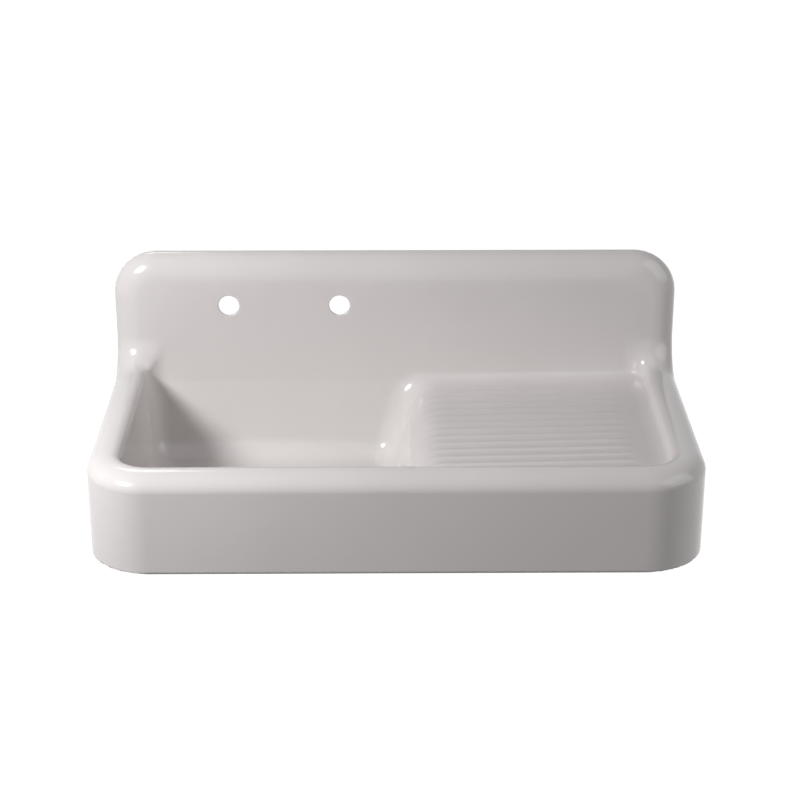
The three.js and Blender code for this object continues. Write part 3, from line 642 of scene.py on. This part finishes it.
def easedOutline(corners, closed=True, longest=None, plainEasing=0.25, arcStep=18, most=0.48):
    # (radius, height, easing) corners, each rounded by an arc that takes no more than its share
    # of either side; longest then divides the straight runs
    places = [np.array(corner[:2], float) for corner in corners]
    outline = []
    for i, here in enumerate(places):
        easing = corners[i][2] if len(corners[i]) > 2 else plainEasing
        if easing == 0 or (not closed and i in (0, len(places) - 1)):
            outline.append(here)
            continue
        back, ahead = places[i - 1] - here, places[(i + 1) % len(places)] - here
        room = most * min(np.hypot(*back), np.hypot(*ahead))
        back, ahead = back / np.hypot(*back), ahead / np.hypot(*ahead)
        half = math.acos(np.clip(back @ ahead, -1, 1)) / 2
        run = min(easing / math.tan(half), room)
        centre = here + (back + ahead) / np.hypot(*(back + ahead)) * run / math.cos(half)
        start, end = here + back * run - centre, here + ahead * run - centre
        sweep = math.pi - 2 * half
        steps = max(2, math.ceil(sweep / math.radians(arcStep)))
        for k in range(steps + 1):
            share = k / steps
            arm = math.sin((1 - share) * sweep) * start + math.sin(share * sweep) * end
            outline.append(centre + arm / math.sin(sweep))
    if not longest:
        return np.array(outline)
    finer = []
    for a, b in zip(outline, outline[1:] + outline[:1]):
        count = max(1, math.ceil(np.hypot(*(b - a)) / longest))
        finer.extend(a + (b - a) * k / count for k in range(count))
    return np.array(finer)


def turnedShape(outline, steps=128, closed=True, cut=None):
    # cut gives the radius at an angle, radius and height: a thread, flutes or flats
    angle, radius = np.meshgrid(np.arange(steps) * 2 * math.pi / steps, outline[:, 0],
                                indexing="ij")
    height = np.broadcast_to(outline[:, 1], angle.shape)
    if cut:
        radius = cut(angle, radius, height)
    points = np.stack((radius * np.cos(angle), radius * np.sin(angle), height), -1)
    points = points.reshape(-1, 3)
    rows = len(outline)
    i, k = np.meshgrid(np.arange(steps), np.arange(rows if closed else rows - 1), indexing="ij")
    after, above = (i + 1) % steps, (k + 1) % rows
    quads = np.stack((i * rows + k, after * rows + k, after * rows + above, i * rows + above), -1)
    quads = quads.reshape(-1, 4)
    a, b, c, d = points[quads.T]
    across = np.cross(c - a, d - b)
    across = across * np.linalg.norm(across, axis=1)[:, None]  # the broad faces keep their normals
    normals = np.zeros_like(points)
    for corner in range(4):
        np.add.at(normals, quads[:, corner], across)
    faces = quads.tolist()
    if not closed:
        faces.append([step * rows for step in range(steps)][::-1])
        faces.append([step * rows + rows - 1 for step in range(steps)])
    normals = normals / np.maximum(np.linalg.norm(normals, axis=1), 1e-12)[:, None]
    return points + drainPlace, faces, normals


def threadCut(radius, low, high, pitch, depth):
    def cut(angle, reach, height):
        onIt = np.isclose(reach, radius, 0, 0.01) & (height > low) & (height < high)
        ends = smoothStep(height, low, low + pitch) * (1 - smoothStep(height, high - pitch, high))
        valley = 0.5 + 0.5 * np.cos(2 * math.pi * height / pitch - angle)
        return np.where(onIt, reach - depth * valley * ends, reach)
    return cut


# stainless steel, pressed and satin-polished: pale warm grey, streaked round its axis
stainlessFinish = {"light": "#C6C5C2", "dark": "#B2B1AE", "cloudSize": 18.0, "markSize": 0.7,
                   "markDepth": 0.004, "roughness": (0.2, 0.3), "roughSpread": (0.3, 0.7)}


def satinStainless():
    material, tree, shader = newMaterial("satinStainlessSteel")
    place = addNode(tree, "ShaderNodeTexCoord").outputs["Object"]
    # rings about the drain's axis, as a lathe or a polishing belt leaves them
    centred = addNode(tree, "ShaderNodeMapping", {
        "Vector": place, "Location": (-drainPlace[0] * mm, -drainPlace[1] * mm, 0)})
    rings = addNode(tree, "ShaderNodeTexWave", {
        "Vector": centred.outputs[0], "Scale": math.pi / 10 / (stainlessFinish["markSize"] * mm),
        "Distortion": 1.5, "Detail": 2.0, "Detail Scale": 0.4},
        wave_type="RINGS", rings_direction="Z")
    cloud = addNode(tree, "ShaderNodeTexNoise", {
        "Vector": place, "Scale": perMetre(stainlessFinish["cloudSize"]), "Detail": 4.0})
    colour = addNode(tree, "ShaderNodeMix", {
        0: cloud.outputs["Fac"], 6: toLinear(stainlessFinish["light"]),
        7: toLinear(stainlessFinish["dark"])}, data_type="RGBA")
    fromMin, fromMax = stainlessFinish["roughSpread"]
    low, high = stainlessFinish["roughness"]
    rough = addNode(tree, "ShaderNodeMapRange", {
        "Value": cloud.outputs["Fac"], "From Min": fromMin, "From Max": fromMax,
        "To Min": low, "To Max": high})
    bump = addNode(tree, "ShaderNodeBump", {
        "Height": rings.outputs["Fac"], "Distance": stainlessFinish["markDepth"] * mm})
    fillInputs(tree, shader, {
        "Base Color": colour.outputs[2], "Roughness": rough.outputs["Result"],
        "Normal": bump.outputs["Normal"], "Metallic": 1.0})
    return material


# chrome plate on brass tube: mirror-bright, cooler than steel, with a few dried water marks
chromeFinish = {"name": "chromePlate", "main": "#D3D6D8", "second": "#C7CBCE", "toneSize": 9.0,
                "toneDetail": 5.0, "spread": (0.5, 0.75), "roughness": (0.05, 0.16),
                "even": {"Metallic": 1.0}}
# cast brass, as it comes from the sand: dull yellow, browner where it has tarnished
brassFinish = {"name": "castBrass", "main": "#BC9A5A", "second": "#7E6238", "toneSize": 14.0,
               "toneDetail": 5.0, "spread": (0.42, 0.68), "roughness": (0.34, 0.55),
               "grainSize": 0.9, "grainDetail": 2.0, "grainDepth": 0.06,
               "even": {"Metallic": 1.0}}
dullSurface = {"toneDetail": 4.0, "spread": (0.38, 0.66), "grainDetail": 2.0}
# moulded nitrile rubber: near black, matt, with a faint grey bloom
rubberFinish = {**dullSurface, "name": "mouldedRubber", "main": "#1F1F20", "second": "#2E2E2F",
                "toneSize": 11.0, "roughness": (0.6, 0.78), "grainSize": 0.7,
                "grainDepth": 0.02, "even": {"IOR": 1.52}}
# vulcanised fibre, punched from sheet: red-brown, slightly mottled like pressed paper
fibreFinish = {**dullSurface, "name": "vulcanisedFibre", "main": "#7C4632", "second": "#603424",
               "toneSize": 4.0, "roughness": (0.5, 0.65), "grainSize": 0.5,
               "grainDepth": 0.03, "even": {"IOR": 1.55}}
# plumber's putty, squeezed out under the flange: oily beige, thumbed and uneven
puttyFinish = {**dullSurface, "name": "plumbersPutty", "main": "#C3B699", "second": "#AC9D7F",
               "toneSize": 8.0, "roughness": (0.5, 0.7), "grainSize": 2.2,
               "grainDepth": 0.25, "even": {"IOR": 1.5}}
# moulded phenolic plastic: deep black with a soft gloss, fine scratches dull it in patches
knobFinish = {**dullSurface, "name": "mouldedPhenolic", "main": "#161617", "second": "#222224",
              "toneSize": 6.0, "roughness": (0.22, 0.36), "grainSize": 0.4,
              "grainDepth": 0.006, "even": {"IOR": 1.6}}
rubber = mottledMaterial(rubberFinish)
stainless = satinStainless()
chrome = mottledMaterial(chromeFinish)

putty = {"inner": 46.0, "outer": 57.0, "low": 0.3, "high": 1.8, "outerWander": 1.1,
         "innerWander": 0.5, "waves": ((5, 0.4), (11, 2))}


def puttyEdge(angle, radius, height):
    # the bead stands in by up to a millimetre where less of it was squeezed out
    wander = 0.5
    for count, shift in putty["waves"]:
        wander = wander + 0.25 * np.sin(count * angle + shift)
    middle = (putty["inner"] + putty["outer"]) / 2
    return np.where(radius > middle, radius - putty["outerWander"] * wander,
                    radius + putty["innerWander"] * wander)


addPiece("puttyBead", turnedShape(easedOutline([
    (putty["inner"], putty["low"], 0.5), (putty["outer"], putty["low"], 0.6),
    (putty["outer"], putty["high"], 0.6), (putty["inner"], putty["high"], 0.5)]),
    cut=puttyEdge), "putty_ring", "sink", "putty", mottledMaterial(puttyFinish))

strainer = {"outlet": 24.0, "throat": 19.0, "outside": 43.0, "bore": 40.5, "flange": 57.0,
            "end": -73.9, "shoulder": -55.9, "coneTop": -48.4, "under": 2.1, "top": 4.1,
            "mouth": 3.1, "wall": 2.5, "pitch": 2.0, "threadDepth": 0.7,
            "bodyThread": (-46, -4), "outletThread": (-73, -58)}
thread = (strainer["pitch"], strainer["threadDepth"])
bodyThread = threadCut(strainer["outside"], *strainer["bodyThread"], *thread)
outletThread = threadCut(strainer["outlet"], *strainer["outletThread"], *thread)
addPiece("strainerBody", turnedShape(easedOutline([
    (strainer["throat"], strainer["end"], 0.4), (strainer["outlet"], strainer["end"], 0.6),
    (strainer["outlet"], strainer["shoulder"], 1.5), (strainer["outside"], strainer["coneTop"], 3),
    (strainer["outside"], strainer["under"], 0.6), (strainer["flange"], strainer["under"], 0.4),
    (strainer["flange"], strainer["mouth"], 0.5),
    (strainer["flange"] - 2, strainer["top"], 1.5),
    (strainer["bore"] + 5, strainer["mouth"], 4), (strainer["bore"], strainer["mouth"] - 5, 4),
    (strainer["bore"], strainer["coneTop"] + strainer["wall"], 3),
    (strainer["throat"], strainer["shoulder"] + strainer["wall"], 2)], longest=0.5),
    cut=lambda a, r, h: outletThread(a, bodyThread(a, r, h), h)),
    "strainer_body", "sink", "stainless_steel", stainless)

# name: inner and outer radius, top, thickness, then what it replaces
flatRings = {
    "strainerGasket": (43.3, 56.0, -6.8, 3.0, "strainer_gasket", "rubber", rubber),
    "frictionRing": (43.3, 52.0, -10.1, 1.0, "friction_washer", "fibre",
                     mottledMaterial(fibreFinish)),
    "outletWasher": (19.0, 22.5, -74.2, 2.5, "tailpiece_washer", "rubber", rubber),
}
for name, (inner, outer, top, thick, node, slot, material) in flatRings.items():
    ease = min(0.6, thick / 3)
    ring = easedOutline([(inner, top - thick, ease), (outer, top - thick, ease),
                         (outer, top, ease), (inner, top, ease)])
    addPiece(name, turnedShape(ring), node, "sink", slot, material)

locknut = {"bore": 43.3, "outer": 52.0, "ears": 8, "earHeight": 3.0, "earTurn": 7.5, "top": -11.4,
           "foot": -23.4, "collar": 47.5, "recess": 3.0, "recessRun": 1.5,
           "earFlank": (-0.5, 0.4), "topEdge": 0.7, "footEdge": 0.9, "boreEdge": 0.5,
           "cellSize": 1.2}


def locknutField(x, y, z):
    radius, angle = np.hypot(x, y), np.arctan2(y, x)
    turn = angle - math.radians(locknut["earTurn"])
    ear = smoothStep(np.cos(locknut["ears"] * turn), *locknut["earFlank"])
    rim = locknut["outer"] - locknut["earHeight"] * (1 - ear)
    collar = locknut["collar"]
    outside = smoothStep(radius, collar, collar + locknut["recessRun"])
    foot = locknut["foot"] + locknut["recess"] * outside
    metal = cutRound(radius - rim, z - locknut["top"], locknut["topEdge"])
    metal = cutRound(metal, foot - z, locknut["footEdge"])
    return cutRound(metal, locknut["bore"] - radius, locknut["boreEdge"])


couplingNut = {"bore": 24.3, "tube": 19.3, "outer": 29.3, "flutes": 10, "fluteDepth": 1.5,
               "fluteTurn": 6.0, "fluteFlank": (-0.6, 0.3), "plainBand": (4.0, 2.5),
               "top": -56.2, "floor": -79.3, "foot": -82.3, "topEdge": 0.6, "footEdge": 1.2,
               "tubeEdge": 0.4, "boreEdge": 0.3, "cellSize": 0.9}


def couplingField(x, y, z):
    radius, angle = np.hypot(x, y), np.arctan2(y, x)
    turn = angle - math.radians(couplingNut["fluteTurn"])
    rib = smoothStep(np.cos(couplingNut["flutes"] * turn), *couplingNut["fluteFlank"])
    low, high = couplingNut["plainBand"]
    plain = smoothStep(z, couplingNut["top"] - low, couplingNut["top"] - high)
    rim = couplingNut["outer"] - couplingNut["fluteDepth"] * (1 - rib * (1 - plain))
    metal = cutRound(radius - rim, z - couplingNut["top"], couplingNut["topEdge"])
    metal = cutRound(metal, couplingNut["foot"] - z, couplingNut["footEdge"])
    metal = cutRound(metal, couplingNut["tube"] - radius, couplingNut["tubeEdge"])
    room = np.maximum(radius - couplingNut["bore"], couplingNut["floor"] - z)
    return cutRound(metal, -room, couplingNut["boreEdge"])


for name, field, nut, node, slot, material in (
        ("castLocknut", locknutField, locknut, "strainer_locknut", "brass",
         mottledMaterial(brassFinish)),
        ("couplingNut", couplingField, couplingNut, "coupling_nut", "chrome", chrome)):
    reach = nut["outer"]
    points, faces, normals = shapeFromField(
        field, (-reach, -reach, nut["foot"]), (reach, reach, nut["top"]), nut["cellSize"])
    addPiece(name, (points + drainPlace, faces, normals), node, "sink", slot, material)

tailTube = {"outer": 19.0, "inner": 17.5, "flange": 22.5, "top": -77.0, "flangeUnder": -79.0,
            "end": -119.0}
addPiece("tailTube", turnedShape(easedOutline([
    (tailTube["inner"], tailTube["end"], 0.3), (tailTube["outer"], tailTube["end"], 0.5),
    (tailTube["outer"], tailTube["flangeUnder"], 0.3),
    (tailTube["flange"], tailTube["flangeUnder"], 0.7), (tailTube["flange"], tailTube["top"], 0.7),
    (tailTube["inner"], tailTube["top"], 0.8)], longest=8)),
    "tailpiece", "sink", "chrome", chrome)

# the basket that lifts out
basketSheet = {"thickness": 1.2, "floor": -46.15,
               "path": ((3.8, -46.15), (28.3, -46.15, 4), (36.4, 0.4, 3.5), (44.7, 3.95)),
               "holes": ((7, 14.0), (13, 23.5)), "holeRadius": 2.25, "holeReach": 3.0,
               "slots": 16, "slotWidth": 3.0, "slotFoot": -32.75, "slotTop": -12.75,
               "slotAxis": 33.0, "slotReach": 5.0, "toolSides": 16, "sharpAngle": 35}


def sheetOutline(path, thickness, tipLength=0.35, tipWidth=0.6):
    # a sheet's middle line, given its thickness and a round edge at its end
    line = easedOutline(path, closed=False)
    along = np.gradient(line, axis=0)
    along = along / np.linalg.norm(along, axis=1)[:, None]
    aside = np.stack((along[:, 1], -along[:, 0]), 1) * thickness / 2
    tip = line[-1] + along[-1] * thickness * tipLength
    half = aside[-1] * tipWidth
    return np.concatenate((line + aside, [tip + half, tip - half], (line - aside)[::-1]))


def prism(outline, centre, out, across, up, reach):
    # a flat outline given depth along out, as a tool that cuts through the sheet
    ring = [Vector(centre) + Vector(across) * u + Vector(up) * v for u, v in outline]
    count = len(ring)
    points = [p - Vector(out) * reach for p in ring] + [p + Vector(out) * reach for p in ring]
    faces = [[i, (i + 1) % count, count + (i + 1) % count, count + i] for i in range(count)]
    return points, faces + [list(range(count))[::-1], list(range(count, 2 * count))]


def punchBasket(piece):
    points, faces = [], []

    def addTool(tool):
        start = len(points)
        points.extend(tool[0])
        faces.extend([[start + i for i in face] for face in tool[1]])

    x, y, z = drainPlace
    sides = basketSheet["toolSides"]
    radius = basketSheet["holeRadius"]
    ring = [2 * math.pi * i / sides for i in range(sides)]
    hole = [(radius * math.cos(a), radius * math.sin(a)) for a in ring]
    for count, reach in basketSheet["holes"]:
        for i in range(count):
            a = 2 * math.pi * i / count
            centre = (x + reach * math.cos(a), y + reach * math.sin(a), z + basketSheet["floor"])
            addTool(prism(hole, centre, (0, 0, 1), (1, 0, 0), (0, 1, 0), basketSheet["holeReach"]))
    half = basketSheet["slotWidth"] / 2
    low, high = basketSheet["slotFoot"] + half, basketSheet["slotTop"] - half
    ring = [2 * math.pi * (i + 0.5) / sides for i in range(sides)]
    slot = [(half * math.cos(a), half * math.sin(a) + (high if math.sin(a) > 0 else low))
            for a in ring]
    reach = basketSheet["slotAxis"]
    for i in range(basketSheet["slots"]):
        a = 2 * math.pi * i / basketSheet["slots"]
        out, across = (math.cos(a), math.sin(a), 0), (-math.sin(a), math.cos(a), 0)
        centre = (x + reach * out[0], y + reach * out[1], z)
        addTool(prism(slot, centre, out, across, (0, 0, 1), basketSheet["slotReach"]))
    toolMesh = bpy.data.meshes.new("punchMesh")
    toolMesh.from_pydata([(p - Vector((0, 0, originHeight))) * mm for p in points], [], faces)
    tool = addObject("punch", toolMesh)
    cut = piece.modifiers.new("punch", "BOOLEAN")
    cut.operation, cut.object, cut.solver = "DIFFERENCE", tool, "EXACT"
    bpy.context.view_layer.update()
    punched = piece.evaluated_get(bpy.context.evaluated_depsgraph_get())
    made = bpy.data.meshes.new_from_object(punched)
    piece.modifiers.clear()
    piece.data = made
    made.shade_smooth()
    made.set_sharp_from_angle(angle=math.radians(basketSheet["sharpAngle"]))
    bpy.data.objects.remove(tool)


punchBasket(addPiece("perforatedBasket", turnedShape(
    sheetOutline(basketSheet["path"], basketSheet["thickness"]), steps=96),
    "basket_cup", "basket", "stainless_steel", stainless))

stopper = {"bore": 3.8, "edge": 27.0, "topEdge": 26.4, "footEdge": 22.0, "foot": -52.05,
           "bevelTop": -49.05, "top": -47.05}
addPiece("rubberStopper", turnedShape(easedOutline([
    (stopper["bore"], stopper["foot"], 0.3), (stopper["footEdge"], stopper["foot"], 1.0),
    (stopper["edge"], stopper["bevelTop"], 0.8), (stopper["topEdge"], stopper["top"], 0.6),
    (stopper["bore"], stopper["top"], 0.3)])), "basket_stopper", "basket", "rubber", rubber)

post = {"radius": 3.5, "foot": -56.65, "collar": 6.25, "shoulder": 4.85, "collarFoot": -45.25,
        "collarTop": -35.25, "neck": -31.75, "top": -2.1}
addPiece("liftingPost", turnedShape(easedOutline([
    (onAxis, post["foot"], 0), (post["radius"], post["foot"], 0.6),
    (post["radius"], post["collarFoot"], 0.2), (post["collar"], post["collarFoot"], 0.5),
    (post["shoulder"], post["collarTop"], 1.5), (post["radius"], post["neck"], 3),
    (post["radius"], post["top"], 0.4), (onAxis, post["top"], 0)], closed=False),
    steps=64, closed=False), "basket_post", "basket", "stainless_steel", stainless)

knob = {"radius": 12.0, "crownRadius": 11.6, "neck": 6.5, "neckTop": 6.2, "bore": 3.8,
        "foot": -9.1, "shelf": -4.5, "rim": -1.9, "crown": 4.1, "top": 4.9, "inside": -1.8}
addPiece("liftingKnob", turnedShape(easedOutline([
    (onAxis, knob["inside"], 0), (knob["bore"], knob["inside"], 0.2),
    (knob["bore"], knob["foot"], 0.2), (knob["neck"], knob["foot"], 0.5),
    (knob["neckTop"], knob["shelf"], 1.2), (knob["radius"], knob["rim"], 2.2),
    (knob["crownRadius"], knob["crown"], 3.2), (onAxis, knob["top"], 0)], closed=False),
    steps=96, closed=False),
    "basket_knob", "basket", "black_plastic", mottledMaterial(knobFinish))

hexNut = {"corner": 7.0, "face": 6.1, "bore": 3.8, "bevel": 0.6, "top": -52.35, "foot": -56.35}


def hexagonCut(angle, radius, height):
    # the flats of the nut, and the chamfer that leaves its corners round
    flat = hexNut["corner"] * math.cos(math.pi / 6)
    reach = flat / np.cos((angle % (math.pi / 3)) - math.pi / 6)
    return np.where(radius > hexNut["bore"] + 1, np.minimum(radius, reach), radius)


addPiece("hexNut", turnedShape(easedOutline([
    (hexNut["bore"], hexNut["foot"], 0.3), (hexNut["face"], hexNut["foot"], 0.1),
    (hexNut["corner"], hexNut["foot"] + hexNut["bevel"], 0.1),
    (hexNut["corner"], hexNut["top"] - hexNut["bevel"], 0.1), (hexNut["face"], hexNut["top"], 0.1),
    (hexNut["bore"], hexNut["top"], 0.3)]), steps=96, cut=hexagonCut),
    "basket_post_nut", "basket", "stainless_steel", stainless)
print("drain dressed")

# a pale floor that the camera sees as white, soft lamps and a white world
studio = {
    "floorHeight": -0.95,
    "floorSize": 30.0,
    "floorColour": "#9C9A98",
    "floorRoughness": 0.9,
    "floorGlow": 0.97,
    "white": (1.0, 1.0, 1.0, 1.0),
    "lampAim": (0.0, -0.25, 0.0),
    "skyStrength": 0.06,
    "backdropStrength": 1.0,
}
# name: place, size, power
studioLamps = {
    "keyLamp": ((-1.37, -1.2, 1.04), 0.42, 31.5),
    "fillLamp": ((2.4, -1.1, 1.35), 2.3, 25.0),
    "rimLamp": ((-0.7, 0.8, 1.2), 0.4, 2.0),
}


def seenDirectly(tree):
    # 1 on the rays that show the backdrop: from the camera, off gloss and through glass
    path = addNode(tree, "ShaderNodeLightPath")
    seen = path.outputs["Is Camera Ray"]
    for kind in ("Is Glossy Ray", "Is Transmission Ray"):
        seen = addNode(tree, "ShaderNodeMath", {0: seen, 1: path.outputs[kind]},
                       operation="MAXIMUM").outputs[0]
    return seen


reach, height = studio["floorSize"] / 2, studio["floorHeight"]
floorMesh = bpy.data.meshes.new("studioFloor")
floorMesh.from_pydata([(-reach, -reach, height), (reach, -reach, height), (reach, reach, height),
                       (-reach, reach, height)], [], [(0, 1, 2, 3)])
floor = addObject("studioFloor", floorMesh)
floorMaterial, tree, shader = newMaterial("paleStudioFloor")
fillInputs(tree, shader, {
    "Base Color": toLinear(studio["floorColour"]), "Roughness": studio["floorRoughness"]})
glow = addNode(tree, "ShaderNodeEmission", {
    "Color": studio["white"], "Strength": studio["floorGlow"]})
dark = addNode(tree, "ShaderNodeEmission", {"Strength": 0.0})
chosen = addNode(tree, "ShaderNodeMixShader", {
    0: seenDirectly(tree), 1: dark.outputs[0], 2: glow.outputs[0]})
both = addNode(tree, "ShaderNodeAddShader", {0: shader.outputs[0], 1: chosen.outputs[0]})
fillInputs(tree, tree.nodes["Material Output"], {"Surface": both.outputs[0]})
floorMesh.materials.append(floorMaterial)

for name, (place, size, power) in studioLamps.items():
    lampData = bpy.data.lights.new(name, "AREA")
    lampData.size, lampData.energy = size, power
    lamp = addObject(name, lampData)
    lamp.location = place
    towards = Vector(studio["lampAim"]) - Vector(place)
    lamp.rotation_euler = towards.to_track_quat("-Z", "Y").to_euler()

world = bpy.data.worlds.new("paleStudio")
world.use_nodes = True
tree = world.node_tree
sky = addNode(tree, "ShaderNodeBackground", {
    "Color": studio["white"], "Strength": studio["skyStrength"]})
backdrop = addNode(tree, "ShaderNodeBackground", {
    "Color": studio["white"], "Strength": studio["backdropStrength"]})
chosen = addNode(tree, "ShaderNodeMixShader", {
    0: seenDirectly(tree), 1: sky.outputs[0], 2: backdrop.outputs[0]})
fillInputs(tree, tree.nodes["World Output"], {"Surface": chosen.outputs[0]})
bpy.context.scene.world = world
bpy.context.scene.view_settings.view_transform = "Standard"
print("studio lit")
